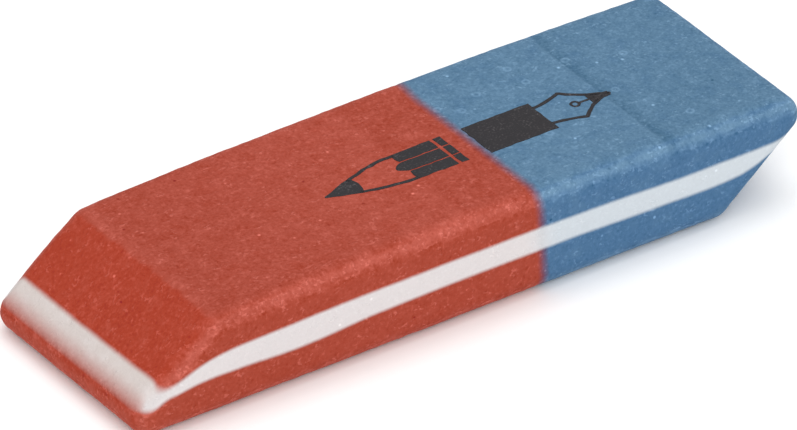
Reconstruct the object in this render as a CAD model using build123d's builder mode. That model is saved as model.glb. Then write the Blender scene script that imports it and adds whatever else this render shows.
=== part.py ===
from build123d import *
import os
from math import atan, cos, radians, sin, tan

# A bevelled two-colour rubber eraser: a red half and a blue half, each a sandwich
# of coloured rubber round one white sheet that runs through both. The sheets are
# pressed and cured into one block, whose ends are cut to a slope and whose edges
# are tumbled round. X runs along the block, with the red half at -X, Y across it
# and Z up. The origin is under the middle of the block, on the face it rests on.

# The block, in millimetres and degrees
overall_length = 57.0   # from the tip of one rounded nose to the tip of the other
overall_width = 18.6
bevel_angle = 40.0      # slope of both end faces
edge_radius = 1.5       # tumbling rounds every outer edge to this
crown_rise = 0.5        # the middle of the top stands this far above its ends

# The sheets, level by level as they lie at the two tips of the block
base_sheet = 3.1        # coloured rubber, from the resting face up
core_sheet = 1.85       # white rubber
top_sheet = 2.85        # coloured rubber, up to the top
core_bow = 0.55         # the white sheet rises this far in the middle, under the crown
red_length = 34.1       # from the red nose to the joint between the two colours

# The white stripe on the end faces, where cutting the slope drags the sheets
stripe_margin = 2.55    # height of the coloured rubber between the nose and the stripe
stripe_height = 1.35
drag_length = 6.5       # the sheets run level again this far in from a slope
drag_steepness = 1.5    # a sheet meets the slope this much steeper than it came there

cut_overrun = 1.0       # the cutting surfaces pass this far out of the block


# Where the sharp, untumbled block has its corners
thickness = base_sheet + core_sheet + top_sheet
bevel = radians(bevel_angle)
bevel_run = thickness / tan(bevel)
nose_low_x = -(overall_length / 2 - edge_radius + edge_radius / tan(bevel / 2))
shoulder_high_x = nose_low_x + bevel_run
crown_slope = 2 * atan(2 * crown_rise / (-nose_low_x - shoulder_high_x))
nose_high_x = (
    overall_length / 2
    - edge_radius
    + edge_radius * cos((bevel - crown_slope) / 2) / sin((bevel + crown_slope) / 2)
)
shoulder_low_x = nose_high_x - bevel_run
joint_x = red_length - overall_length / 2

# The tumbled block, before it is told apart into its sheets
with BuildPart() as block:
    with BuildSketch(Plane.XZ) as side_view:
        with BuildLine() as outline:
            Polyline(
                (nose_high_x, thickness),
                (shoulder_low_x, 0),
                (nose_low_x, 0),
                (shoulder_high_x, thickness),
            )
            ThreePointArc(
                (shoulder_high_x, thickness),
                ((shoulder_high_x + nose_high_x) / 2, thickness + crown_rise),
                (nose_high_x, thickness),
            )
        make_face()
    extrude(amount=overall_width / 2, both=True)
    fillet(block.edges(), radius=edge_radius)


def bowed(x, level):
    """Point at x on a sheet's surface that lies at this level at the block's tips."""
    return Vector(x, level + core_bow * (1 - (2 * x / overall_length) ** 2))


def dragged_end(level_point, level_direction, slope_point):
    """Curve from the level stretch out to a slope, and past it out of the block."""
    way = slope_point - level_point
    way_out = Vector(way.X, way.Y * drag_steepness).normalized()
    outside = slope_point + way_out * cut_overrun
    Spline(level_point, slope_point, outside, tangents=(level_direction, way_out))
    return outside


def zone_face(red_end, level, blue_end, far_height):
    """Side view of all that lies between a sheet's surface and a far height.

    The surface meets the red and the blue end face at the heights red_end and
    blue_end, and is a shallow arc between the two places where the drag ends.
    """
    red_point = Vector(nose_low_x + red_end / tan(bevel), red_end)
    blue_point = Vector(shoulder_low_x + blue_end / tan(bevel), blue_end)
    with BuildSketch(Plane.XZ) as zone:
        with BuildLine():
            middle = ThreePointArc(
                bowed(red_point.X + drag_length, level),
                bowed(0, level),
                bowed(blue_point.X - drag_length, level),
            )
            red_out = dragged_end(middle @ 0, -(middle % 0), red_point)
            blue_out = dragged_end(middle @ 1, middle % 1, blue_point)
            Polyline(red_out, (red_out.X, far_height), (blue_out.X, far_height), blue_out)
        make_face()
    return zone.sketch


# The stripe is the same on both end faces, which slope opposite ways: half a turn
# about the width brings one onto the other
stripe_top = stripe_margin + stripe_height
zones = {
    "top": zone_face(
        red_end=stripe_top,
        level=base_sheet + core_sheet,
        blue_end=thickness - stripe_margin,
        far_height=thickness + crown_rise + cut_overrun,
    ),
    "base": zone_face(
        red_end=stripe_margin,
        level=base_sheet,
        blue_end=thickness - stripe_top,
        far_height=-cut_overrun,
    ),
}

# Each coloured sheet is the block above or below the white one, on one side of
# the joint
joint_plane = Plane.YZ.offset(joint_x)
halves = {"red": Keep.BOTTOM, "blue": Keep.TOP}

os.makedirs("parts", exist_ok=True)
for layer, zone in zones.items():
    for colour, side in halves.items():
        with BuildPart() as sheet:
            add(block.part)
            extrude(zone, amount=overall_width, both=True, mode=Mode.INTERSECT)
            split(bisect_by=joint_plane, keep=side)
        sheet.part.label = f"{colour}_{layer}_sheet"
        export_step(sheet.part, f"parts/{sheet.part.label}.step")

# The white sheet is what is left between them, in one piece from nose to nose
with BuildPart() as white_core_sheet:
    add(block.part)
    for zone in zones.values():
        extrude(zone, amount=overall_width, both=True, mode=Mode.SUBTRACT)
white_core_sheet.part.label = "white_core_sheet"
export_step(white_core_sheet.part, "parts/white_core_sheet.step")
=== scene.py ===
from math import atan, atan2, cos, pi, radians, sin, sqrt, tan

import bmesh
import bpy
import numpy as np
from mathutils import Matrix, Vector


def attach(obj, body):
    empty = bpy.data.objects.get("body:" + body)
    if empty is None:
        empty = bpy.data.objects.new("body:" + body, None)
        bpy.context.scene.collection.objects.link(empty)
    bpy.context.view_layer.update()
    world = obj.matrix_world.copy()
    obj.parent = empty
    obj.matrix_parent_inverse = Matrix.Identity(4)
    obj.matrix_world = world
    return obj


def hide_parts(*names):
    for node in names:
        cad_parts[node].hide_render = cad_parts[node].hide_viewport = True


# Looks of a bevelled two-colour rubber eraser. Its five sheets of rubber are built once
# more as fine closed meshes, each in place of the CAD node it stands for, with tumbled
# edges, the grain of the rubber and the seam between the colours. Two printed pictures
# lie on top. Sizes are in millimetres, in the part's frame, until a mesh is made of them.

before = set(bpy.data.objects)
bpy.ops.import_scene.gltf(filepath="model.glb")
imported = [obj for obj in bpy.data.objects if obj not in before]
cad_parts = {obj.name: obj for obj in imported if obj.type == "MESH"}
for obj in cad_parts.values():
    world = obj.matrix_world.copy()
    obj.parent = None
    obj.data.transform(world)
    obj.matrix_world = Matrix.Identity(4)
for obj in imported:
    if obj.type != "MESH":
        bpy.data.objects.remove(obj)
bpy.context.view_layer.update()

MM = 0.001

# The block, as part.py has it
LENGTH = 57.0             # between the tips of the two rounded noses
WIDTH = 18.6
THICKNESS = 7.8           # at the two ends of the top, where the crown begins
BEVEL = radians(40.0)     # slope of both end faces
EDGE = 1.5                # radius that tumbling gives every outer edge
CROWN = 0.5               # rise of the middle of the top
JOINT_X = 5.6             # where red rubber meets blue

# The white sheet between its floor and its roof, as part.py has it
FLOOR_LEVEL = 3.1         # at the tips of the block
ROOF_LEVEL = 4.95
BOW = 0.55                # rise of both in the middle
STRIPE_LOW = 2.55         # heights of the stripe that it shows on the red slope
STRIPE_HIGH = 3.9
DRAG = 6.5                # it is bent over this far from a slope
DRAG_STEEPNESS = 1.5
# The cut bent both borders of the stripe further in the slopes' corners: by how much, and
# how far in from the slope that begins to fade and is gone
RED_SMEARED_CORNER = (0.36, 0.8, 2.2)
BLUE_SMEARED_CORNER = (0.15, 0.3, 2.4)
SHARP_CORNER = (0.48, 0.3, 3.8)

FLAT = WIDTH / 2 - EDGE   # half the width between the rounded edges
CORNER_SIDE = (FLAT + 0.05, FLAT + 1.3)     # how far out a corner begins, and is full
SHEET_WAVES = ((0.035, 6.5), (0.02, 1.7))   # height and length of the waves from curing
APART = 9.0               # floor and roof read their waves at this times their level

GRID = 0.16               # spacing of the meshes, fine enough for the worn edges
MERGED = 0.0003           # points nearer than this are one
RIM_SAMPLES = 600         # of a stretch of the rim, to find what crosses it
CROWN_POINTS = 65         # of the side view's outline


def smoothstep(low, high, value):
    """0 at low, 1 at high, and the cubic 3t^2 - 2t^3 between them."""
    t = np.clip((value - low) / (high - low), 0, 1)
    return t * t * (3 - 2 * t)


# The side view's core is the outline drawn in by the edge radius. Every point of the
# skin is a point of the core plus the edge radius along the outward direction, which is
# what tumbling leaves of a sharp block.
low_nose = np.array([EDGE - LENGTH / 2, EDGE])
sharp_nose_x = low_nose[0] - EDGE / tan(BEVEL / 2)
shoulder_x = sharp_nose_x + THICKNESS / tan(BEVEL)
crown_slope = 2 * atan(2 * CROWN / (-sharp_nose_x - shoulder_x))
far_nose_x = -low_nose[0] + EDGE * cos((BEVEL - crown_slope) / 2) / sin((BEVEL + crown_slope) / 2)
foot_x = far_nose_x - THICKNESS / tan(BEVEL)
low_shoulder = np.array([foot_x - EDGE * tan(BEVEL / 2), EDGE])

half_chord = (far_nose_x - shoulder_x) / 2
CROWN_RADIUS = (half_chord**2 + CROWN**2) / (2 * CROWN)
CROWN_CENTRE = np.array([(far_nose_x + shoulder_x) / 2, THICKNESS + CROWN - CROWN_RADIUS])
CORE_CROWN_RADIUS = CROWN_RADIUS - EDGE
UP_SLOPE = np.array([cos(BEVEL), sin(BEVEL)])


def up_to_crown(start):
    """Where the core's side that climbs from start at the bevel angle meets the core's
    crown: the upper root of the quadratic for a line and a circle."""
    away = start - CROWN_CENTRE
    along = away @ UP_SLOPE
    reach = -along + sqrt(along**2 - away @ away + CORE_CROWN_RADIUS**2)
    return start + reach * UP_SLOPE


high_shoulder = up_to_crown(low_nose)
high_nose = up_to_crown(low_shoulder)

# The rim runs round the side view from the joint on the base: past the red nose, up its
# slope, over the crown, round the blue nose and back. The outward direction turns by one
# whole turn, all of it at the core's corners and along the crown.
DOWN = -pi / 2
RED_OUT = BEVEL - 3 * pi / 2
BLUE_OUT = BEVEL - 5 * pi / 2
DOWN_AGAIN = DOWN - 2 * pi
crown_ends = [
    atan2(corner[1] - CROWN_CENTRE[1], corner[0] - CROWN_CENTRE[0]) - 2 * pi
    for corner in (high_shoulder, high_nose)
]
crown_angles = np.linspace(*crown_ends, CROWN_POINTS)
crown_core = CROWN_CENTRE + CORE_CROWN_RADIUS * np.stack(
    [np.cos(crown_angles), np.sin(crown_angles)], 1
)
joint_on_base = np.array([JOINT_X, EDGE])
RIM_CORE = np.vstack(
    [joint_on_base, low_nose, low_nose, high_shoulder, crown_core]
    + [high_nose, low_shoulder, low_shoulder, joint_on_base]
)
RIM_ANGLE = np.concatenate(
    [[DOWN, DOWN, RED_OUT, RED_OUT], crown_angles, [BLUE_OUT, BLUE_OUT, DOWN_AGAIN, DOWN_AGAIN]]
)
rim_steps = np.hypot(*np.diff(RIM_CORE, axis=0).T) + EDGE * np.abs(np.diff(RIM_ANGLE))
RIM_LENGTH = np.concatenate([[0], np.cumsum(rim_steps)])
BASE_START, BASE_END = RIM_LENGTH[0], RIM_LENGTH[-1]
TOP = (RIM_LENGTH[4], RIM_LENGTH[-5])           # four points come before and four after it
RED_SLOPE = (RIM_LENGTH[1], TOP[0])             # from the nose's underside to the crown
BLUE_SLOPE = (TOP[1], RIM_LENGTH[-2])           # from the crown to the base


def rim(length, rho):
    """Outline of the side view at a distance rho outside the core, as x and z: the core
    point at this length along the rim, plus rho along the outward direction there."""
    angle = np.interp(length, RIM_LENGTH, RIM_ANGLE)
    x = np.interp(length, RIM_LENGTH, RIM_CORE[:, 0]) + rho * np.cos(angle)
    z = np.interp(length, RIM_LENGTH, RIM_CORE[:, 1]) + rho * np.sin(angle)
    return x, z


# Value noise: a table of random heights, read at the corners of cubes and blended
TABLE_SIDE = 64
NOISE_ORIGIN = 11.3
noise_table = np.random.default_rng(7).uniform(-1, 1, (TABLE_SIDE,) * 3)


def noise(points, size, shift=0.0):
    """Smooth random field from -1 to 1 with bumps of this size: the random heights of the
    eight corners of each point's cube, blended by a smoothstep along each axis."""
    cells = np.asarray(points) / size + NOISE_ORIGIN + shift
    corner = np.floor(cells).astype(int)
    part = smoothstep(0, 1, cells - corner)
    height = 0
    for step in np.ndindex(2, 2, 2):
        share = np.prod(np.where(step, part, 1 - part), axis=-1)
        i, j, k = np.moveaxis((corner + step) % TABLE_SIDE, -1, 0)
        height = height + share * noise_table[i, j, k]
    return height


def sheet_surface(x, y, level, red_end, blue_end):
    """Height of the white sheet's floor or roof over a place of the plan view. Between the
    drags it is a shallow parabola. Towards each slope a cubic with the parabola's height
    and slope at one end meets the end face at a given height, steeper than its chord by
    the drag's steepness, and goes on straight outside. In the corners beside the slopes
    it is dragged further, by a smoothstep of both distances. Curing leaves it wavy."""
    height = level + BOW * (1 - (2 * x / LENGTH) ** 2)
    at_side = smoothstep(*CORNER_SIDE, np.abs(y))
    for slope_foot, end, inward in ((sharp_nose_x, red_end, 1), (foot_x, blue_end, -1)):
        end_height, (corner_drag, fades, gone) = end
        end_x = slope_foot + end_height / tan(BEVEL)
        start_x = end_x + inward * DRAG
        start = level + BOW * (1 - (2 * start_x / LENGTH) ** 2)
        start_slope = -8 * BOW * start_x / LENGTH**2
        end_slope = DRAG_STEEPNESS * (end_height - start) / (end_x - start_x)
        run = end_x - start_x
        t = np.clip((x - start_x) / run, 0, 1)
        bent = (
            start * (2 * t**3 - 3 * t**2 + 1)
            + end_height * (3 * t**2 - 2 * t**3)
            + run * start_slope * (t**3 - 2 * t**2 + t)
            + run * end_slope * (t**3 - t**2)
        )
        past = np.where((x - end_x) * inward < 0, (x - end_x) * end_slope, 0)
        height = np.where((start_x - x) * inward > 0, bent + past, height)
        in_corner = smoothstep(gone, fades, (x - end_x) * inward) * at_side
        height = height - inward * corner_drag * in_corner
    plan = np.stack(np.broadcast_arrays(x, y, level * APART), -1)
    return height + sum(rise * noise(plan, size) for rise, size in SHEET_WAVES)


# The sheet sags and swells near its front, in bells: place, height and reach. They die
# out across the width from one place to another
FLOOR_BELLS = ((-23.4, 0.13, 2.6), (-14.6, -0.31, 4.2), (8.8, 0.08, 2.0))
ROOF_BELLS = ((-10.0, 0.06, 3.5), (17.0, -0.12, 2.8))
BELLS_FULL, BELLS_GONE = -9.0, -3.0
FLOOR_RISE = 0.04         # the whole floor lies this much higher than in the solid


def uneven(x, y, bells):
    """Sum of bells along the block, each its height times exp(-d^2) at a distance of d
    reaches, which die out by a smoothstep from the front towards the middle."""
    height = sum(rise * np.exp(-(((x - centre) / reach) ** 2)) for centre, rise, reach in bells)
    return height * smoothstep(BELLS_GONE, BELLS_FULL, y)


def floor_surface(x, y):
    """Underside of the white sheet."""
    red_end = (STRIPE_LOW, RED_SMEARED_CORNER)
    blue_end = (THICKNESS - STRIPE_HIGH, SHARP_CORNER)
    level = sheet_surface(x, y, FLOOR_LEVEL, red_end, blue_end)
    return level + FLOOR_RISE + uneven(x, y, FLOOR_BELLS)


def roof_surface(x, y):
    """Upper side of the white sheet."""
    red_end = (STRIPE_HIGH, SHARP_CORNER)
    blue_end = (THICKNESS - STRIPE_LOW, BLUE_SMEARED_CORNER)
    return sheet_surface(x, y, ROOF_LEVEL, red_end, blue_end) + uneven(x, y, ROOF_BELLS)


# Stations across the width: a quarter turn round the front edge, straight across, and a
# quarter turn round the back edge
quarter = np.linspace(0, pi / 2, round(EDGE * pi / 2 / GRID) + 1)
straight = np.linspace(-FLAT, FLAT, round(2 * FLAT / GRID) + 1)[1:-1]
STATION_Y = np.concatenate(
    [-FLAT - EDGE * np.cos(quarter), straight, FLAT + EDGE * np.cos(quarter[::-1])]
)
STATION_RHO = np.concatenate(
    [EDGE * np.sin(quarter), np.full(len(straight), EDGE), EDGE * np.sin(quarter[::-1])]
)


def crossing(window, over):
    """Length along the rim, at each station, where the side view's outline crosses a
    surface. The outline is sampled over a window of the rim, and the change of sign of
    what over says, its distance over the surface, is placed by linear interpolation."""
    lengths = np.linspace(*window, RIM_SAMPLES)
    x, z = rim(lengths[:, None], STATION_RHO)
    gap = over(x, STATION_Y, z)
    i = np.argmax(np.signbit(gap[:-1]) != np.signbit(gap[1:]), axis=0)
    j = np.arange(len(STATION_Y))
    share = gap[i, j] / (gap[i, j] - gap[i + 1, j])
    return lengths[i] + share * (lengths[1] - lengths[0])


def skin_chain(start, end, count=None):
    """Points of the skin between two lengths along the rim, evenly spaced, at each
    station. The first axis runs along the rim and the second across the width."""
    start, end = (np.broadcast_to(value, STATION_Y.shape) for value in (start, end))
    count = count or round(float(np.abs(end - start).max()) / GRID) + 1
    share = np.linspace(0, 1, count)[:, None]
    x, z = rim(start + (end - start) * share, STATION_RHO)
    return np.stack([x, np.broadcast_to(STATION_Y, x.shape), z], -1)


def buried_chain(surface, start, end, count):
    """Points of the white sheet's floor or roof between two lengths along the rim, evenly
    spaced in x, at each station."""
    first, last = (rim(value, STATION_RHO)[0] for value in (start, end))
    x = first + (last - first) * np.linspace(0, 1, count)[:, None]
    y = np.broadcast_to(STATION_Y, x.shape)
    return np.stack([x, y, surface(x, y)], -1)


def ruled(first, last, count):
    """Grid of straight lines from each point of one row to the same point of another."""
    share = np.linspace(0, 1, count)[None, :, None]
    return first[:, None] * (1 - share) + last[:, None] * share


def nearest_on_line(points, start, end):
    """Nearest points of a straight side: the foot of the perpendicular, kept on it."""
    way = end - start
    t = np.clip((points - start) @ way / (way @ way), 0, 1)
    return start + t[:, None] * way


RED_FACE = np.array([-sin(BEVEL), 0, cos(BEVEL)])
FACES = np.array([[0, -1, 0], [0, 1, 0], [0, 0, 1], [0, 0, -1], RED_FACE, -RED_FACE])


def outward(points):
    """Outward direction at points of the skin, and their distance from the core. The
    nearest point of the core's side view is the nearest on its four sides, or the point
    itself where it is inside them."""
    flat = points[:, [0, 2]]
    away = flat - CROWN_CENTRE
    angle = np.arctan2(away[:, 1], away[:, 0])
    angle = np.clip(angle, crown_ends[1] + 2 * pi, crown_ends[0] + 2 * pi)
    crown_way = np.stack([np.cos(angle), np.sin(angle)], 1)
    sides = np.stack(
        [
            nearest_on_line(flat, low_nose, low_shoulder),
            nearest_on_line(flat, low_nose, high_shoulder),
            nearest_on_line(flat, low_shoulder, high_nose),
            CROWN_CENTRE + CORE_CROWN_RADIUS * crown_way,
        ]
    )
    gaps = flat - sides
    nearest = np.argmin(np.hypot(gaps[..., 0], gaps[..., 1]), axis=0)
    gap = gaps[nearest, np.arange(len(flat))]
    across_slope = RED_FACE[[0, 2]]
    inside = (
        (flat[:, 1] >= EDGE)
        & ((flat - low_nose) @ across_slope <= 0)
        & ((flat - low_shoulder) @ across_slope >= 0)
        & (np.hypot(*away.T) <= CORE_CROWN_RADIUS)
    )
    gap[inside] = 0
    across = points[:, 1] - np.clip(points[:, 1], -FLAT, FLAT)
    reach = np.stack([gap[:, 0], across, gap[:, 1]], 1)
    distance = np.sqrt((reach**2).sum(1))
    return reach / np.maximum(distance, 1e-9)[:, None], distance


def edge_wear(normals):
    """0 on a flat face, and 1 where the skin is turned half-way between two faces that
    stand square to each other: how far it is from facing as any flat face does."""
    turned = 1 - (normals @ FACES.T).max(1)
    return np.clip(turned / (1 - cos(pi / 4)), 0, 1)


# The skin's relief: heights or depths, with the sizes of their bumps
WAVE, WAVE_SIZE = 0.02, 5.0
GRAIN, GRAIN_SIZE = 0.01, 0.5
WORN_DEPTH, WORN_SIZE = 0.03, 3.0     # tumbling takes rubber off the edges
FRAY, FRAY_SIZE = 0.02, 0.5           # and leaves them frayed
RAGGED, RAGGED_SIZE = 0.06, 1.2       # of the lines of the joint and the crease
SLOPE_CROWN = 0.13        # the slopes are a little rounded from nose to shoulder
SEAM_DEPTH = 0.03         # of the groove where the two colours meet
SEAM_REACH = 0.25
DENT_PLACE = (-22.4, 9.0, 7.6)
DENT_DEPTH = 0.12
DENT_REACH = 1.7
CREASE_X = 16.8           # the printing press left a crease across the blue top
CREASE_DEPTH = 0.05
CREASE_START, CREASE_LOW = CREASE_X - 0.15, CREASE_X + 0.1
CREASE_TAIL = 0.6         # its depth falls to 1/e over this
# A facing says how squarely the skin faces as a flat face does where it begins to count
# as part of that face, and where it fully does
SLOPE_FACING = (0.9, 0.999)
TOP_FACING = (0.9, 0.99)
RESTING = -0.95           # the outward direction is lower than this on the resting face


def relief(points, normals):
    """How far the skin stands out of the ideal block: slow waves and grain everywhere,
    frayed and worn edges, a parabola's crown up each slope, a groove along the seam, a
    bell-shaped dent in one corner, and on top a crease that falls steeply on its left and
    rises slowly on its right. Nothing stands out of the resting face."""
    x = points[:, 0] + RAGGED * noise(points, RAGGED_SIZE, 5)
    body = WAVE * noise(points, WAVE_SIZE) + GRAIN * noise(points, GRAIN_SIZE, 1)
    wear = edge_wear(normals)
    fray = FRAY * noise(points, FRAY_SIZE, 3) - WORN_DEPTH * (1 + noise(points, WORN_SIZE, 9)) / 2
    on_slope = smoothstep(*SLOPE_FACING, np.abs(normals @ RED_FACE))
    crown = SLOPE_CROWN * on_slope * (1 - (2 * points[:, 2] / THICKNESS - 1) ** 2)
    groove = -SEAM_DEPTH * np.exp(-(((x - JOINT_X) / SEAM_REACH) ** 2))
    away = np.sqrt(((points - DENT_PLACE) ** 2).sum(1))
    dent = -DENT_DEPTH * np.exp(-((away / DENT_REACH) ** 2))
    rise = np.exp(-np.maximum(x - CREASE_X, 0) / CREASE_TAIL)
    fall = smoothstep(CREASE_START, CREASE_LOW, x)
    crease = -CREASE_DEPTH * fall * rise * smoothstep(*TOP_FACING, normals[:, 2])
    height = body + wear * fray + crown + groove + dent + crease
    return np.where(normals[:, 2] < RESTING, np.minimum(height, 0), height)


# Over how far from a border of the white the colours run into each other: on the sides
# of the block, and on the slopes at the sharp border and at the smeared one
SOFT_BORDER = 0.2
SHARP_BORDER = 0.11
SMEARED_BORDER = 0.6
SMEAR_SHIFT = 0.08        # the smeared border also lies this far into the white
STRIPE_FACING = (0.8, 0.99)


def white_depth(points, normals):
    """How deep a place of the skin lies in the white sheet, as a share of how far the
    colours run into each other there: the lesser of its height over the floor and under
    the roof. The cut smeared one border of the stripe on each slope."""
    x, y, z = points.T
    on_red = smoothstep(*STRIPE_FACING, normals @ RED_FACE)
    on_blue = smoothstep(*STRIPE_FACING, -normals @ RED_FACE)
    smeared, sharp = SMEARED_BORDER - SOFT_BORDER, SHARP_BORDER - SOFT_BORDER
    floor_width = SOFT_BORDER + smeared * on_red + sharp * on_blue
    roof_width = SOFT_BORDER + smeared * on_blue + sharp * on_red
    over_floor = (z - floor_surface(x, y) - SMEAR_SHIFT * on_red) / floor_width
    under_roof = (roof_surface(x, y) - z - SMEAR_SHIFT * on_blue) / roof_width
    return np.minimum(over_floor, under_roof)


def quads(shape, first, flipped):
    """Four-sided faces of a grid of vertices numbered row by row from first."""
    at = first + np.arange(shape[0] * shape[1]).reshape(shape)
    corners = np.stack([at[:-1, :-1], at[1:, :-1], at[1:, 1:], at[:-1, 1:]], -1)
    corners = corners.reshape(-1, 4)
    return corners[:, ::-1] if flipped else corners


def box_patches(lower, upper, ends=None, skin=()):
    """The six sides of what lies between a lower and an upper grid of points: the grids,
    ruled side walls, and end walls that are given or ruled. Each comes with whether its
    faces are flipped, and whether it lies on the outside of the block: the side walls
    always do, and of lower, upper and ends those that skin names."""
    if ends is None:
        count = max(round(float((upper - lower)[..., 2].max()) / GRID), 1) + 1
        ends = [ruled(lower[i], upper[i], count) for i in (0, -1)]
    count = ends[0].shape[1]
    return [
        (lower, True, "lower" in skin),
        (upper, False, "upper" in skin),
        (ruled(lower[:, 0], upper[:, 0], count), False, True),
        (ruled(lower[:, -1], upper[:, -1], count), True, True),
        (ends[0], True, "ends" in skin),
        (ends[1], False, "ends" in skin),
    ]


def closed_mesh(name, patches):
    """Mesh of grids of points, each joined to its neighbours along their common edges by
    merging the points there. Keeps on each face whether it lies on the outside."""
    first = 0
    faces, outside = [], []
    for grid, flipped, shown in patches:
        faces.append(quads(grid.shape[:2], first, flipped))
        outside.append(np.full(len(faces[-1]), shown, dtype=np.int32))
        first += grid.shape[0] * grid.shape[1]
    points = np.concatenate([grid.reshape(-1, 3) for grid, *_ in patches])
    faces = np.concatenate(faces).astype(np.int32)
    mesh = bpy.data.meshes.new(name)
    mesh.vertices.add(len(points))
    mesh.vertices.foreach_set("co", (points * MM).ravel())
    mesh.loops.add(faces.size)
    mesh.loops.foreach_set("vertex_index", faces.ravel())
    mesh.polygons.add(len(faces))
    mesh.polygons.foreach_set("loop_start", np.arange(0, faces.size, 4, dtype=np.int32))
    mesh.update(calc_edges=True)
    kept = mesh.attributes.new("outside", "INT", "FACE")
    kept.data.foreach_set("value", np.concatenate(outside))
    merged = bmesh.new()
    merged.from_mesh(mesh)
    bmesh.ops.remove_doubles(merged, verts=merged.verts, dist=MERGED * MM)
    merged.to_mesh(mesh)
    merged.free()
    mesh.shade_smooth()
    return mesh


def read(elements, name, kind, width=1):
    """Numbers of a mesh's elements as an array, in rows where each has more than one."""
    values = np.empty(len(elements) * width, kind)
    elements.foreach_get(name, values)
    return values if width == 1 else values.reshape(-1, width)


def sharpen_borders(mesh):
    """Marks an edge sharp where the skin meets a buried face, so that smooth shading
    doesn't round the skin's border: the largest and the least of its faces differ."""
    outside = read(mesh.attributes["outside"].data, "value", np.int32)
    of_loop = np.repeat(outside, read(mesh.polygons, "loop_total", np.int32))
    edge = read(mesh.loops, "edge_index", np.int32)
    most, least = np.zeros(len(mesh.edges), int), np.ones(len(mesh.edges), int)
    np.maximum.at(most, edge, of_loop)
    np.minimum.at(least, edge, of_loop)
    sharp = mesh.attributes.new("sharp_edge", "BOOLEAN", "EDGE")
    sharp.data.foreach_set("value", most != least)


def put_in_scene(mesh, material):
    """Makes a finished mesh a piece that rides on the block."""
    piece = bpy.data.objects.new(mesh.name, mesh)
    bpy.context.scene.collection.objects.link(piece)
    mesh.materials.append(material)
    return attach(piece, "root")


# What the finish follows
SKIN_DEPTH = (0.97, 0.995)            # distance from the core where the skin begins
NOSE_SPARED = 0.45                    # tumbling wears the noses less, by this share
NOSE_FACING = (0.75, 0.95)
DUSTY_FACING = (0.82, 0.95)           # dust stays on the level faces
DUST_BORDER = ((0.05, 1.1, 2), (0.04, 0.4, 4))      # made ragged by these noises
SLOPING_FACING = (0.55, 0.97)


def rubber_sheet(node, material, lower, upper, skin, ends=None):
    """One sheet of rubber in place of its CAD node. Its skin is raised into relief, and
    what its finish follows is kept on the vertices."""
    patches = box_patches(lower, upper, ends, skin)
    mesh = closed_mesh(node.replace("_sheet", "_rubber"), patches)
    sharpen_borders(mesh)
    points = read(mesh.vertices, "co", float, 3) / MM
    normals, distance = outward(points)
    on_skin = smoothstep(*SKIN_DEPTH, distance / EDGE)
    endwise, level, slopewise = np.abs([normals[:, 0], normals[:, 2], normals @ RED_FACE])
    worn = edge_wear(normals) * on_skin * (1 - NOSE_SPARED * smoothstep(*NOSE_FACING, endwise))
    ragged = sum(share * noise(points, size, shift) for share, size, shift in DUST_BORDER)
    attributes = {
        "worn": worn,
        "dusty": np.maximum(smoothstep(*DUSTY_FACING, level + ragged), worn),
        "level": level,
        "sloping": smoothstep(*SLOPING_FACING, np.maximum(slopewise, endwise)),
        "white_depth": white_depth(points, normals),
    }
    for name, values in attributes.items():
        mesh.attributes.new(name, "FLOAT", "POINT").data.foreach_set("value", values)
    points += (relief(points, normals) * on_skin)[:, None] * normals
    mesh.vertices.foreach_set("co", (points * MM).ravel())
    mesh.update()
    piece = put_in_scene(mesh, material)
    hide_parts(node)


INK_OVER = 0.02          # the ink's film stands this far out of the rubber
INK_UNDER = 0.04         # and reaches this far into it
INK_RAGGED, INK_RAGGED_SIZE = 0.05, 0.5
INK_LEVEL = 3.0          # where the rag of its outline is read from the noise
INK_GRID = 0.12
INK_LINE = 0.3


def on_top(x, y, over):
    """Places over the crowned top: the arc's point, raised along its radius by the skin's
    relief and by a height over it. The outline is ragged by a noise of half a
    millimetre, as matt rubber takes a print."""
    plan = np.stack([x, y, np.full_like(x, INK_LEVEL)], -1)
    x = x + INK_RAGGED * noise(plan, INK_RAGGED_SIZE, 1)
    y = y + INK_RAGGED * noise(plan, INK_RAGGED_SIZE, 7)
    away = x - CROWN_CENTRE[0]
    z = CROWN_CENTRE[1] + np.sqrt(CROWN_RADIUS**2 - away**2)
    points = np.stack([x, y, z], -1).reshape(-1, 3)
    from_centre = np.stack([away, np.zeros_like(away), z - CROWN_CENTRE[1]], -1)
    normals = from_centre.reshape(-1, 3) / CROWN_RADIUS
    raised = points + (relief(points, normals) + over)[:, None] * normals
    return raised.reshape(*x.shape, 3)


def curve(x, y):
    """Points of the plan view. One of x and y may be the same for all."""
    return np.stack(np.broadcast_arrays(x, y), 1)


def field(low, high):
    """Grid between two curves of the plan view with as many points each: straight lines
    from each point of the first to the same point of the second."""
    count = max(round(float(np.hypot(*(high - low).T).max()) / INK_GRID), 1) + 1
    return ruled(low, high, count)


def stroke(path, width):
    """Grid along a path of the plan view, half the width to each side of it, square to
    the way from each point's neighbour before it to the one after it."""
    way = np.gradient(path, axis=0)
    across = np.stack([-way[:, 1], way[:, 0]], 1) / np.hypot(*way.T)[:, None]
    return field(path - across * width / 2, path + across * width / 2)


def ink_print(name, material, grids):
    """A printed picture: each grid of the plan view becomes a closed film that lies on the
    crowned top. A grid that ends where it starts is a ring, and has no end walls."""
    patches = []
    for grid in grids:
        x, y = grid[..., 0], grid[..., 1]
        film = box_patches(on_top(x, y, -INK_UNDER), on_top(x, y, INK_OVER))
        patches += film[:4] if np.allclose(grid[0], grid[-1]) else film
    put_in_scene(closed_mesh(name, patches), material)


def linear(colour):
    """An sRGB hex value as linear RGBA."""
    parts = [int(colour[i : i + 2], 16) / 255 for i in (1, 3, 5)]
    return [c / 12.92 if c <= 0.04045 else ((c + 0.055) / 1.055) ** 2.4 for c in parts] + [1]


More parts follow.
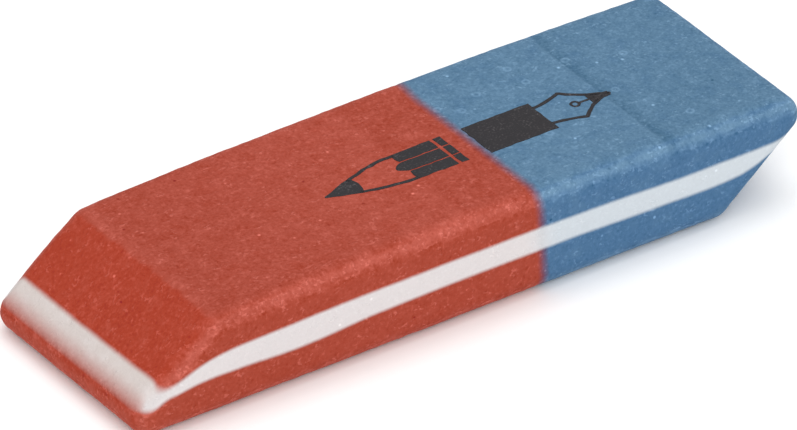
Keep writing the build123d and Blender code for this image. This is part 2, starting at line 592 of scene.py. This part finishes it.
def new_material(name):
    """An empty node material, and the function that adds its nodes."""
    material = bpy.data.materials.new(name)
    material.use_nodes = True
    tree = material.node_tree
    tree.nodes.clear()

    def add(kind, sockets=(), **settings):
        """Adds a node with its settings, and links or sets input sockets, which are named
        or are a list of the first ones. Returns its outputs."""
        made = tree.nodes.new("ShaderNode" + kind)
        for setting, value in settings.items():
            setattr(made, setting, value)
        for key, value in sockets.items() if isinstance(sockets, dict) else enumerate(sockets):
            if isinstance(value, bpy.types.NodeSocket):
                tree.links.new(value, made.inputs[key])
            else:
                made.inputs[key].default_value = value
        return made.outputs

    return material, add


# Vulcanised rubber, filled with chalk and grit, pressed and cured in sheets, cut into
# blocks and tumbled. It is dead matt and soft to the eye. A fresh cut is deep in colour, a
# pressed face dusty, and a rubbed edge pale and torn; that pale band is partly a painted
# highlight, its lip has a painted shade beneath, and the crease on top is darkened by painted
# shade. Chalk pales a colour by as much in red as in green and blue light as the eye sees
# it: a tone of 1 + t on linear colour that is lifted by CHALK first and lowered by it after.
# The functions below add up that t, as paler, from marks and their weights. A mark comes
# up from 0 at none to 1 at full.
CHALK = 0.109
PIGMENTS = {
    "red": {"side": "#A03F2C", "top": "#A04231", "slope": "#A13822"},
    "blue": {"side": "#456B8F", "top": "#527591", "slope": "#41688E"},
    "white_by_red": {"side": "#D5CFCF", "top": "#D5CFCF", "slope": "#C7BDB9"},
    "white_by_blue": {"side": "#C6CDD3", "top": "#C6CDD3", "slope": "#BBC0C4"},
}
# Size, detail, distortion and weight of the filler's grain, of curls of torn rubber, of
# mottling and of clouds, and the part of the tone that is the same everywhere
TEXTURES = {
    "grain": (0.2, 1.0, 0.0, 0.34),
    "curl": (0.42, 2.0, 0.8, 0.24),
    "mottle": (1.3, 2.0, 0.0, 0.2),
    "cloud": (6.0, 1.0, 0.0, 0.08),
}
EVEN = -0.02
CRUMB_SIZE, FLECK_SIZE, PATCH_SIZE = 0.3, 0.24, 0.7
FLECK_SHAPE = (0.75, 1.0, 1.0)        # flecks are longer along the block
GRIT_SPACING, BLISTER_SPACING = 0.9, 3.6
BUMP_HEIGHT = 0.06

# The way along the block by which the colours change is x with a share of the height,
# since the seam leans, a bend near the back and a share of the curls
SEAM_LEAN = 0.05
SEAM_WANDER = 0.24
SEAM_BEND = {"From Min": 6.0, "From Max": 9.3, "To Max": -0.38}
SEAM_AT = JOINT_X + 0.34              # that way at the joint, on average
CREASE_SHADE_AT = CREASE_X + 0.55         # and where the painted shade in the crease is darkest
# The white sheet has no joint of its own, and changes from a warm white to a cool one
# over a longer way than the colours
COLOUR_BLEND = {"From Min": SEAM_AT - 0.6, "From Max": SEAM_AT + 0.6}
WHITE_BLEND = {"From Min": SEAM_AT - 1.7, "From Max": SEAM_AT + 1.5}
BORDER_RAG = 0.16         # share of the curls in the border between coloured and white


def filler_tone(add, place, dusty, sloping):
    """The filler's textures, and how they pale the rubber together. The cut faces of a
    block are smoother than the pressed ones and the worn edges."""
    fields = {}
    paler = EVEN
    for texture, (size, detail, distortion, weight) in TEXTURES.items():
        settings = {"Vector": place, "Scale": 1 / size, "Detail": detail, "Distortion": distortion}
        fields[texture] = add("TexNoise", settings)["Fac"]
        change = add("Math", [fields[texture], weight, -weight / 2], operation="MULTIPLY_ADD")[0]
        paler = add("Math", [paler, change], operation="ADD")[0]
    half_sloping = add("Math", [sloping, 0.5], operation="MULTIPLY")[0]
    rough_face = add("Math", [dusty, half_sloping], operation="MAXIMUM")[0]
    grainy = add("Math", [rough_face, 0.45, 0.55], operation="MULTIPLY_ADD")[0]
    return fields, add("Math", [paler, grainy], operation="MULTIPLY")[0]


def seam(add, place, curl):
    """The way along the block by which the colours change, and how far past the seam a
    place is for the colours and for the white."""
    x, y, z = add("SeparateXYZ", [place])
    bend = add("MapRange", {"Value": y, **SEAM_BEND})["Result"]
    bent = add("Math", [x, bend], operation="ADD")[0]
    leaning = add("Math", [z, SEAM_LEAN, bent], operation="MULTIPLY_ADD")[0]
    wander = add("Math", [curl, SEAM_WANDER, leaning], operation="MULTIPLY_ADD")[0]
    past_seam, cooling = (
        add("MapRange", {"Value": wander, **blend}, interpolation_type="SMOOTHSTEP")["Result"]
        for blend in (COLOUR_BLEND, WHITE_BLEND)
    )
    return wander, past_seam, cooling


def scattered_marks(add, place, worn):
    """Marks all over the skin, the shreds again for the bump, and the noise by which
    shreds and torn places come in patches."""
    # Crumbs and pits, where a noise stands highest and lowest
    crumb = add("TexNoise", {"Vector": place, "Scale": 1 / CRUMB_SIZE, "Detail": 1.0})["Fac"]
    crumbs, pits = (
        add("MapRange", {"Value": crumb, "From Min": none, "From Max": full})["Result"]
        for none, full in ((0.58, 0.7), (0.4, 0.28))
    )

    # Shreds: crisp flecks where a noise stands highest, in patches that crowd along the
    # worn edges
    along = add("VectorMath", [place, FLECK_SHAPE], operation="MULTIPLY")["Vector"]
    fleck, patch = (
        add("TexNoise", {"Vector": along, "Scale": 1 / size, "Detail": detail})["Fac"]
        for size, detail in ((FLECK_SIZE, 1.0), (PATCH_SIZE, 0.0))
    )
    crowded = add("Math", [worn, 0.22, patch], operation="MULTIPLY_ADD")[0]
    flecks, here = (
        add("MapRange", {"Value": value, "From Min": 0.58, "From Max": full})["Result"]
        for value, full in ((fleck, 0.63), (crowded, 0.68))
    )
    shreds = add("Math", [flecks, here], operation="MULTIPLY")[0]

    # Grit: a pale speck in some of the cells of a scatter, and a dark one in a few
    cells = add("TexVoronoi", {"Vector": place, "Scale": 1 / GRIT_SPACING})
    distance = {"Value": cells["Distance"], "From Min": 0.17, "From Max": 0.07}
    near = add("MapRange", distance)["Result"]
    lot = add("SeparateColor", {"Color": cells["Color"]})["Red"]
    marks = [(crumbs, 0.14), (pits, -0.08), (shreds, 0.26)]
    for bound, side, weight in ((0.93, "GREATER_THAN", 0.8), (0.04, "LESS_THAN", -0.3)):
        chosen = add("Math", [lot, bound], operation=side)[0]
        speck = add("Math", [near, chosen], operation="MULTIPLY")[0]
        marks.append((speck, weight))
    return marks, shreds, patch


def edge_marks(add, fields, worn, level, patch):
    """Marks of the worn edges. They are pale up to a ragged border, from chalky wear and
    partly a painted highlight, and end on the side of the block in a ragged lip, with a torn
    pale line on it that is partly painted highlight, and a line of painted shade beneath it."""
    # The pale band: chalky wear, and partly a painted highlight on the rounded edge
    frayed = worn
    for texture in ("curl", "mottle"):
        frayed = add("Math", [frayed, fields[texture]], operation="ADD")[0]
    lip = level
    for texture, share in (("mottle", 0.5), ("curl", 0.2)):
        lip = add("Math", [fields[texture], share, lip], operation="MULTIPLY_ADD")[0]
    frayed, above_lip, on_edge, torn = (
        add("MapRange", {"Value": value, "From Min": none, "From Max": full})["Result"]
        for value, none, full in (
            (frayed, 1.12, 1.8),
            (lip, 0.62, 0.74),
            (worn, 0.12, 0.26),
            (patch, 0.42, 0.55),
        )
    )
    above_lip = add("Math", [above_lip, 0.6, 0.4], operation="MULTIPLY_ADD")[0]
    frayed = add("Math", [frayed, above_lip], operation="MULTIPLY")[0]
    torn = add("Math", [torn, on_edge], operation="MULTIPLY")[0]
    marks = [(frayed, 0.17)]
    # On the lip a pale torn line, partly painted highlight, and beneath it a line of painted shade
    for start, strongest, end, weight in ((0.7, 0.76, 0.86, 0.14), (0.52, 0.6, 0.7, -0.1)):
        line = torn
        for none in (start, end):
            part = add("MapRange", {"Value": lip, "From Min": none, "From Max": strongest})["Result"]
            line = add("Math", [line, part], operation="MULTIPLY")[0]
        marks.append((line, weight))
    return marks


def top_marks(add, place, dusty, wander, past_seam, before_seam):
    """Marks that show only on the top. Dust lies thicker towards the print, where the
    press rubbed it off. The press also paled the blue rubber, as far as its crease, and the
    crease is darkened by painted shade, steeply on its left and fading slowly to its right."""
    x, _, z = add("SeparateXYZ", [place])
    upper, thicker, rubbed, crease_fall, crease_rise, shoulder = (
        add("MapRange", {"Value": way, "From Min": none, "From Max": full})["Result"]
        for way, none, full in (
            (z, 6.8, 7.2),
            (x, -16.0, -0.5),
            (wander, 0.1, 0.5),
            (wander, CREASE_SHADE_AT - 0.2, CREASE_SHADE_AT),
            (wander, CREASE_SHADE_AT + 1.15, CREASE_SHADE_AT),
            (wander, -20.0, -20.9),
        )
    )
    on_top_face = add("Math", [dusty, upper], operation="MULTIPLY")[0]
    dust = add("Math", [thicker, rubbed], operation="SUBTRACT")[0]
    dust = add("Math", [dust, before_seam], operation="MULTIPLY")[0]
    # Painted shade in the crease, darkest just past its steep left side
    crease = add("Math", [crease_fall, crease_rise], operation="MULTIPLY")[0]
    pressed = add("Math", [past_seam, crease_fall], operation="SUBTRACT", use_clamp=True)[0]

    # Faint round marks on the blue, where blisters closed: rings round some of the points
    # of a wide scatter, by their distance in spacings
    spread = {"Vector": place, "Scale": 1 / BLISTER_SPACING}
    blisters = add("TexVoronoi", spread, voronoi_dimensions="2D")
    lot = add("SeparateColor", {"Color": blisters["Color"]})["Red"]
    ring = past_seam
    for value, none, full in (
        (blisters["Distance"], 0.11, 0.075),
        (blisters["Distance"], 0.02, 0.065),
        (lot, 0.5, 0.6),
    ):
        part = add("MapRange", {"Value": value, "From Min": none, "From Max": full})["Result"]
        ring = add("Math", [ring, part], operation="MULTIPLY")[0]
    marks = [(dust, 0.06), (pressed, 0.03), (crease, -0.14), (shoulder, 0.06), (ring, 0.28)]
    return [
        (add("Math", [mark, on_top_face], operation="MULTIPLY")[0], weight)
        for mark, weight in marks
    ]


def vulcanised_rubber(name):
    """Material of one of the rubbers. All three know each other's colours, because they
    run into each other over a fraction of a millimetre."""
    material, add = new_material(name)
    metres = add("TexCoord")["Object"]
    place = add("VectorMath", {0: metres, "Scale": 1 / MM}, operation="SCALE")["Vector"]
    worn, dusty, level, sloping, depth = (
        add("Attribute", attribute_name=kept)["Fac"]
        for kept in ("worn", "dusty", "level", "sloping", "white_depth")
    )
    fields, paler = filler_tone(add, place, dusty, sloping)
    wander, past_seam, cooling = seam(add, place, fields["curl"])
    before_seam = add("Math", [1.0, past_seam], operation="SUBTRACT")[0]
    # The rubber is darker along the seam, where the colours run into each other
    seam_darkening = add("Math", [past_seam, before_seam], operation="MULTIPLY")[0]
    marks, shreds, patch = scattered_marks(add, place, worn)
    marks += edge_marks(add, fields, worn, level, patch)
    marks += top_marks(add, place, dusty, wander, past_seam, before_seam)
    marks.append((seam_darkening, -0.5))
    for mark, weight in marks:
        paler = add("Math", [mark, weight, paler], operation="MULTIPLY_ADD")[0]

    # Colour: each pigment by face, the two sides of the seam, then coloured and white
    fuzzy = add("Math", [fields["mottle"], 1.2, -0.6], operation="MULTIPLY_ADD")[0]
    face = add("Math", [dusty, fuzzy], operation="ADD", use_clamp=True)[0]
    skins = []
    for pigment in PIGMENTS.values():
        side, top, slope = (
            [part + CHALK for part in linear(pigment[face_name])[:3]] + [1]
            for face_name in ("side", "top", "slope")
        )
        cut = add("Mix", {0: sloping, 6: side, 7: slope}, data_type="RGBA")[2]
        skins.append(add("Mix", {0: face, 6: cut, 7: top}, data_type="RGBA")[2])
    coloured, white = (
        add("Mix", {0: past, 6: by_red, 7: by_blue}, data_type="RGBA")[2]
        for past, (by_red, by_blue) in ((past_seam, skins[:2]), (cooling, skins[2:]))
    )
    ragged = add("Math", [fields["curl"], BORDER_RAG, depth], operation="MULTIPLY_ADD")[0]
    border = {"Value": ragged, "From Min": BORDER_RAG / 2 - 1, "From Max": BORDER_RAG / 2 + 1}
    share = add("MapRange", border, interpolation_type="SMOOTHSTEP")["Result"]
    skin = add("Mix", {0: share, 6: coloured, 7: white}, data_type="RGBA")[2]

    # White rubber and the slopes show the marks less
    calm = add("MapRange", {"Value": share, "From Max": 0.6, "To Min": 1.0, "To Max": 0.25})["Result"]
    by_slope = add("Math", [sloping, -0.22, 1.0], operation="MULTIPLY_ADD")[0]
    calm = add("Math", [calm, by_slope], operation="MULTIPLY")[0]
    tone = add("Math", [paler, calm, 1.0], operation="MULTIPLY_ADD")[0]
    # Dirt greys the worn edges of the white
    soiled = add("Math", [worn, share], operation="MULTIPLY")[0]
    tone = add("Math", [soiled, -0.13, tone], operation="MULTIPLY_ADD")[0]
    skin = add("VectorMath", [skin, tone, (-CHALK,) * 3], operation="MULTIPLY_ADD")
    skin = add("VectorMath", [skin["Vector"], (0.01,) * 3], operation="MAXIMUM")["Vector"]

    # Grain, curls and shreds stand out a little
    height = add("Math", [fields["grain"], fields["curl"]], operation="ADD")[0]
    height = add("Math", [shreds, 0.7, height], operation="MULTIPLY_ADD")[0]
    bump = add("Bump", {"Height": height, "Strength": 0.6, "Distance": BUMP_HEIGHT * MM})["Normal"]
    rough = add("Math", [fields["grain"], 0.2, 0.76], operation="MULTIPLY_ADD")[0]
    surface = {"Base Color": skin, "Roughness": rough, "Normal": bump}
    shader = add("BsdfPrincipled", {**surface, "IOR": 1.52, "Specular IOR Level": 0.25})
    add("OutputMaterial", {"Surface": shader["BSDF"]})
    return material


INK_GRAIN, INK_PATCH = 0.17, 0.9
INK_BUMP = 0.04


def pad_printed_ink(name):
    """Black printing ink, carbon in a matt binder: a thin dry film, a little broken by the
    grain of the rubber under it, which shows as paler grey specks."""
    material, add = new_material(name)
    metres = add("TexCoord")["Object"]
    grain, patch = (
        add("TexNoise", {"Vector": metres, "Scale": 1 / (size * MM), "Detail": 2.0})["Fac"]
        for size in (INK_GRAIN, INK_PATCH)
    )
    speck = add("MapRange", {"Value": grain, "From Min": 0.54, "From Max": 0.8})["Result"]
    thin = add("MapRange", {"Value": patch, "From Min": 0.3, "From Max": 0.7})["Result"]
    worn = add("Math", [speck, thin], operation="MULTIPLY")[0]
    colour = add("Mix", {0: worn, 6: linear("#2A282B"), 7: linear("#625E5F")}, data_type="RGBA")[2]
    bump = add("Bump", {"Height": grain, "Strength": 0.4, "Distance": INK_BUMP * MM})["Normal"]
    rough = add("Math", [grain, 0.2, 0.6], operation="MULTIPLY_ADD")[0]
    surface = {"Base Color": colour, "Roughness": rough, "Normal": bump}
    shader = add("BsdfPrincipled", {**surface, "Specular IOR Level": 0.2})
    add("OutputMaterial", {"Surface": shader["BSDF"]})
    return material


ROLLER_MARK = 50 / 3      # size of the marks that the roller left in the paint


def painted_board(name):
    """White emulsion paint on board: matt and even, without a gleam."""
    material, add = new_material(name)
    metres = add("TexCoord")["Object"]
    rolled = add("TexNoise", {"Vector": metres, "Scale": 1 / (ROLLER_MARK * MM)})["Fac"]
    rough = add("Math", [rolled, 0.1, 0.85], operation="MULTIPLY_ADD")[0]
    shader = add("BsdfPrincipled", {"Base Color": linear("#FFFFFF"), "Roughness": rough})
    add("OutputMaterial", {"Surface": shader["BSDF"]})
    return material


red_rubber, blue_rubber, white_rubber = (
    vulcanised_rubber(f"vulcanised_{colour}_rubber") for colour in ("red", "blue", "white")
)

# Where the side views' outlines cross the sheets' surfaces and the joint
(floor_red, floor_blue), (roof_red, roof_blue) = (
    [crossing(slope, lambda x, y, z: z - surface(x, y)) for slope in (RED_SLOPE, BLUE_SLOPE)]
    for surface in (floor_surface, roof_surface)
)
joint_top = crossing(TOP, lambda x, y, z: x - JOINT_X)

for node, material, start, end in (
    ("red_top_sheet", red_rubber, roof_red, joint_top),
    ("blue_top_sheet", blue_rubber, joint_top, roof_blue),
):
    top_skin = skin_chain(start, end)
    underside = buried_chain(roof_surface, start, end, len(top_skin))
    rubber_sheet(node, material, underside, top_skin, ["upper"])

for node, material, start, end in (
    ("red_base_sheet", red_rubber, floor_red, BASE_START),
    ("blue_base_sheet", blue_rubber, BASE_END, floor_blue),
):
    base_skin = skin_chain(start, end)
    upper_side = buried_chain(floor_surface, start, end, len(base_skin))
    rubber_sheet(node, material, base_skin, upper_side, ["lower"])

# The white sheet, with a stripe at each end for its skin
STRIPE_POINTS = 14
CORE_GRID = 0.2
core_points = round(LENGTH / CORE_GRID)
stripes = [
    skin_chain(low, high, STRIPE_POINTS).swapaxes(0, 1)
    for low, high in ((floor_red, roof_red), (floor_blue, roof_blue))
]
rubber_sheet(
    "white_core_sheet",
    white_rubber,
    buried_chain(floor_surface, floor_red, floor_blue, core_points),
    buried_chain(roof_surface, roof_red, roof_blue, core_points),
    ["ends"],
    stripes,
)

# The printed pencil: a lead, the two edges of its cone, and a painted body of three
# facets with a bare ring near the end
PENCIL_TIP, PENCIL_AXIS = -7.12, -0.9
LEAD_END, CONE_END, PENCIL_END = -4.5, -0.3, 3.95
PENCIL_HALF = 1.83
TIP_HALF = 0.06           # the tip is blunt
LEAD_BULGE = 0.3          # of the lead's end
CONE_LAP = (0.2, 0.1)     # of the cone's edges over the lead and the body
RING = (3.05, 3.3)
FACET_LINES = (-1.56, -0.24)          # middles of the bare lines between the facets
FACET_GAP = 0.12
SIDE_SCALLOP, MIDDLE_SCALLOP = 0.12, 0.75     # how far the facets' ends bulge


def cone_half(x):
    """Half the pencil's width along its cone: a quarter wave of the sine from the tip."""
    way = np.clip((x - PENCIL_TIP) / (CONE_END - PENCIL_TIP), 0, 1)
    return TIP_HALF + (PENCIL_HALF - TIP_HALF) * np.sin(way * pi / 2)


def panel(left, right, y):
    """Grid between two curves that run across the block, each given as x over the same y."""
    return field(curve(left, y), curve(right, y)).swapaxes(0, 1)


def facet(low_y, high_y, bulge):
    """A painted facet from its scalloped end, a parabola that bulges, to the ring."""
    v = np.linspace(0, 1, 24)
    return panel(CONE_END - bulge * 4 * v * (1 - v), RING[0], low_y + (high_y - low_y) * v)


lead_x = np.linspace(PENCIL_TIP, LEAD_END, 40)
lead_half = cone_half(lead_x)
lead_rounded = LEAD_BULGE * (lead_x - PENCIL_TIP) / (LEAD_END - PENCIL_TIP)
lead_across = np.linspace(-1, 1, 21)
lead = np.stack(
    [
        lead_x[:, None] + lead_rounded[:, None] * (1 - lead_across**2),
        PENCIL_AXIS + lead_half[:, None] * lead_across,
    ],
    -1,
)
cone_x = np.linspace(LEAD_END - CONE_LAP[0], CONE_END + CONE_LAP[1], 60)
cone_middle = cone_half(cone_x) - INK_LINE / 2
cone_borders = (curve(cone_x, PENCIL_AXIS + side * cone_middle) for side in (-1, 1))
cone_edges = [stroke(border, INK_LINE) for border in cone_borders]
line_sides = [line + side * FACET_GAP / 2 for line in FACET_LINES for side in (-1, 1)]
facet_borders = [PENCIL_AXIS - PENCIL_HALF, *line_sides, PENCIL_AXIS + PENCIL_HALF]
scallops = (SIDE_SCALLOP, MIDDLE_SCALLOP, SIDE_SCALLOP)
facets, end_pieces = [], []
for low_y, high_y, bulge in zip(facet_borders[::2], facet_borders[1::2], scallops):
    facets.append(facet(low_y, high_y, bulge))
    end_pieces.append(panel(RING[1], PENCIL_END, np.linspace(low_y, high_y, 12)))
ink = pad_printed_ink("pad_printed_black_ink")
ink_print("pencil_print", ink, [lead, *cone_edges, *facets, *end_pieces])

# The printed pen: a barrel, and a nib with two shoulders that sweeps in to a point, with
# a slit that ends in a round breather hole
PEN_AXIS = -0.98
BARREL = (5.75, 11.55)
BARREL_HALF = 1.92
NIB_ROOT, NIB_SHOULDER, NIB_TIP = 11.5, 14.05, 17.2
NIB_ROOT_HALF, NIB_HALF, NIB_TIP_HALF = 1.2, 1.85, 0.1
ROOT_POWER, TIP_POWER = 1.6, 1.7
POINT_START = 15.5        # the nib is inked full from here to just past its tip
POINT_OVER = 0.1
SLIT_END, SLIT_LINE = 16.0, 0.2
HOLE_X, HOLE_RADIUS, HOLE_LINE = 14.3, 0.3, 0.2

barrel = panel(*BARREL, np.linspace(PEN_AXIS - BARREL_HALF, PEN_AXIS + BARREL_HALF, 40))


def nib_half(x):
    """Half the nib's width: a power of the way from its root out to the shoulders, and
    another of the way from the tip back to them."""
    root_way = np.clip((x - NIB_ROOT) / (NIB_SHOULDER - NIB_ROOT), 0, 1)
    tip_way = np.clip((NIB_TIP - x) / (NIB_TIP - NIB_SHOULDER), 0, 1)
    to_shoulder = NIB_ROOT_HALF + (NIB_HALF - NIB_ROOT_HALF) * root_way**ROOT_POWER
    to_tip = NIB_TIP_HALF + (NIB_HALF - NIB_TIP_HALF) * tip_way**TIP_POWER
    return np.where(x < NIB_SHOULDER, to_shoulder, to_tip)


nib_x = np.concatenate(
    [np.linspace(NIB_ROOT, NIB_SHOULDER, 24), np.linspace(NIB_SHOULDER, NIB_TIP, 36)[1:]]
)
nib_edges = [stroke(curve(nib_x, PEN_AXIS + side * nib_half(nib_x)), INK_LINE) for side in (-1, 1)]
point_x = np.linspace(POINT_START, NIB_TIP + POINT_OVER, 20)
point_half = nib_half(point_x)
point = field(curve(point_x, PEN_AXIS - point_half), curve(point_x, PEN_AXIS + point_half))
slit_x = np.linspace(HOLE_X + HOLE_RADIUS, SLIT_END, 12)
slit = stroke(curve(slit_x, PEN_AXIS), SLIT_LINE)
turn = np.linspace(0, 2 * pi, 33)
circle = curve(np.cos(turn), np.sin(turn))
circle[-1] = circle[0]
hole_middle = np.array([HOLE_X, PEN_AXIS])
hole_radii = HOLE_RADIUS + HOLE_LINE / 2, HOLE_RADIUS - HOLE_LINE / 2
hole = field(*(hole_middle + radius * circle for radius in hole_radii))
ink_print("pen_print", ink, [barrel, *nib_edges, point, slit, hole])

# A plain pale floor
FLOOR_REACH = 3.0          # metres
FLOOR_Z = -0.05 * MM       # a hair under the block, so that no two faces lie in one plane
turns = ((-1, -1), (1, -1), (1, 1), (-1, 1))
floor_corners = [(x * FLOOR_REACH, y * FLOOR_REACH, FLOOR_Z) for x, y in turns]
floor_mesh = bpy.data.meshes.new("studio_floor")
floor_mesh.from_pydata(floor_corners, [], [(0, 1, 2, 3)])
floor_mesh.materials.append(painted_board("matt_white_studio_board"))
studio_floor = bpy.data.objects.new("studio_floor", floor_mesh)
bpy.context.scene.collection.objects.link(studio_floor)

# Soft studio light: a bright even room, and two large soft boxes, placed in metres
ROOM_STRENGTH = 0.78
BOX_WATTS = 2.07
room = bpy.data.worlds.new("studio_room")
room.use_nodes = True
walls = room.node_tree.nodes["Background"].inputs
walls["Color"].default_value = linear("#FFFFFF")
walls["Strength"].default_value = ROOM_STRENGTH
bpy.context.scene.world = room


def soft_box(name, place, size):
    """A square area light that faces the block."""
    light = bpy.data.lights.new(name, "AREA")
    light.size = size
    light.energy = BOX_WATTS
    lamp = bpy.data.objects.new(name, light)
    lamp.location = place
    lamp.rotation_euler = Vector(place).to_track_quat("Z", "Y").to_euler()
    bpy.context.scene.collection.objects.link(lamp)


soft_box("front_soft_box", (-0.35, -0.55, 0.45), 0.5)
soft_box("high_soft_box", (0.1, 0.1, 0.8), 0.6)

# The camera, at the place found by fitting it to the photograph's outline of the block
AZIMUTH = radians(-34.9)
ELEVATION = radians(32.79)
DISTANCE = 0.990253        # metres
TARGET = Vector((-0.067, 0.25, 3.561)) * MM
PIXELS_PER_MM = 14.188
PICTURE_WIDTH = 797
camera_data = bpy.data.cameras.new("camera")
camera_data.sensor_width = 36.0
camera_data.lens = PIXELS_PER_MM * DISTANCE / MM / PICTURE_WIDTH * camera_data.sensor_width
camera_data.clip_start, camera_data.clip_end = 0.05, 20.0
camera = bpy.data.objects.new("camera", camera_data)
back = Vector((sin(AZIMUTH) * cos(ELEVATION), -cos(AZIMUTH) * cos(ELEVATION), sin(ELEVATION)))
camera.location = TARGET + back * DISTANCE
camera.rotation_euler = back.to_track_quat("Z", "Y").to_euler()
bpy.context.scene.collection.objects.link(camera)
bpy.context.scene.camera = camera
bpy.context.scene.view_settings.view_transform = "Standard"
